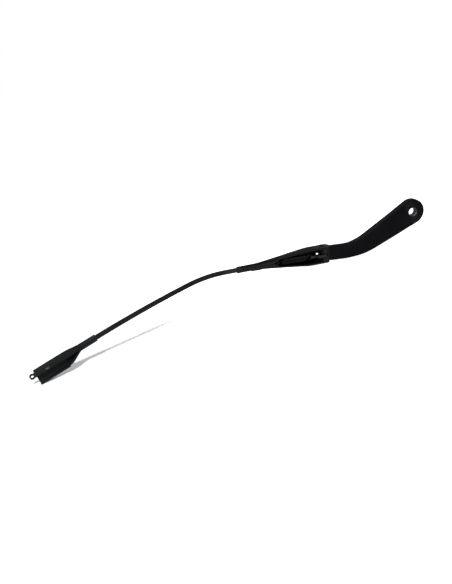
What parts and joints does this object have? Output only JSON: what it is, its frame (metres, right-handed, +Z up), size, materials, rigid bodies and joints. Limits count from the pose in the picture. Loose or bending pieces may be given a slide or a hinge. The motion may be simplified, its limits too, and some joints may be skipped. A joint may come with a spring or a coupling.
{
  "type": "wiper arm",
  "caption": "Windscreen wiper arm with a die-cast spindle head, a spring-loaded folded channel on a pivot, a bent flat rod and a crimped open connector for the blade.",
  "frame": {"origin": "middle of the plain land of the spindle bore, on its axis", "axes": "The arm lies on its long side: -X runs from the spindle to the tip, -Y is the side that faces the glass and the spindle, +Z is up across the arm"},
  "size_m": [0.6635, 0.1013, 0.0706],
  "materials": {
    "head_black": "satin black powder coat on a zinc die casting",
    "sheet_black": "satin black coat on pressed steel sheet",
    "rod_black": "satin black coat on a steel strip",
    "spring_steel": "phosphated grey spring wire",
    "link_steel": "zinc-plated steel bar",
    "pin_steel": "plain steel pin and rivet",
    "bush_metal": "sintered bronze bush",
    "washer_plastic": "grey plain bearing washer"
  },
  "bodies": {
    "head": {"mounting_head": "head_black", "head_bush_lower": "bush_metal", "head_bush_upper": "bush_metal", "anchor_pin": "pin_steel"},
    "arm": {"retainer_channel": "sheet_black", "arm_rod": "rod_black", "blade_connector": "sheet_black", "connector_rivet": "pin_steel", "pivot_rivet": "sheet_black", "pivot_washer_lower": "washer_plastic", "pivot_washer_upper": "washer_plastic"},
    "link": {"spring_link": "link_steel"},
    "spring": {"tension_spring": "spring_steel"}
  },
  "joints": [
    {"name": "arm_lift", "type": "hinge", "parent": "head", "child": "arm", "pos_m": [-0.16235, 0.001, -0.02405], "axis": [-0.1822, 0, -0.9833], "range_deg": [0, 70], "stiffness_Nm_per_rad": 1.2, "deforming": ["tension_spring"]},
    {"name": "link_swing", "type": "hinge", "parent": "head", "child": "link", "pos_m": [-0.1594, -0.0075, -0.02459], "axis": [-0.1822, 0, -0.9833], "range_deg": [0, 68]},
    {"name": "spring_swing", "type": "hinge", "parent": "arm", "child": "spring", "pos_m": [-0.24009, -0.01649, -0.00964], "axis": [-0.1822, 0, -0.9833], "range_deg": [-6, 0], "deforming": ["tension_spring"]}
  ],
  "couplings": [
    {"joint": "link_swing", "follows": "arm_lift", "ratio": 0.9375},
    {"joint": "spring_swing", "follows": "arm_lift", "ratio": -0.07}
  ]
}
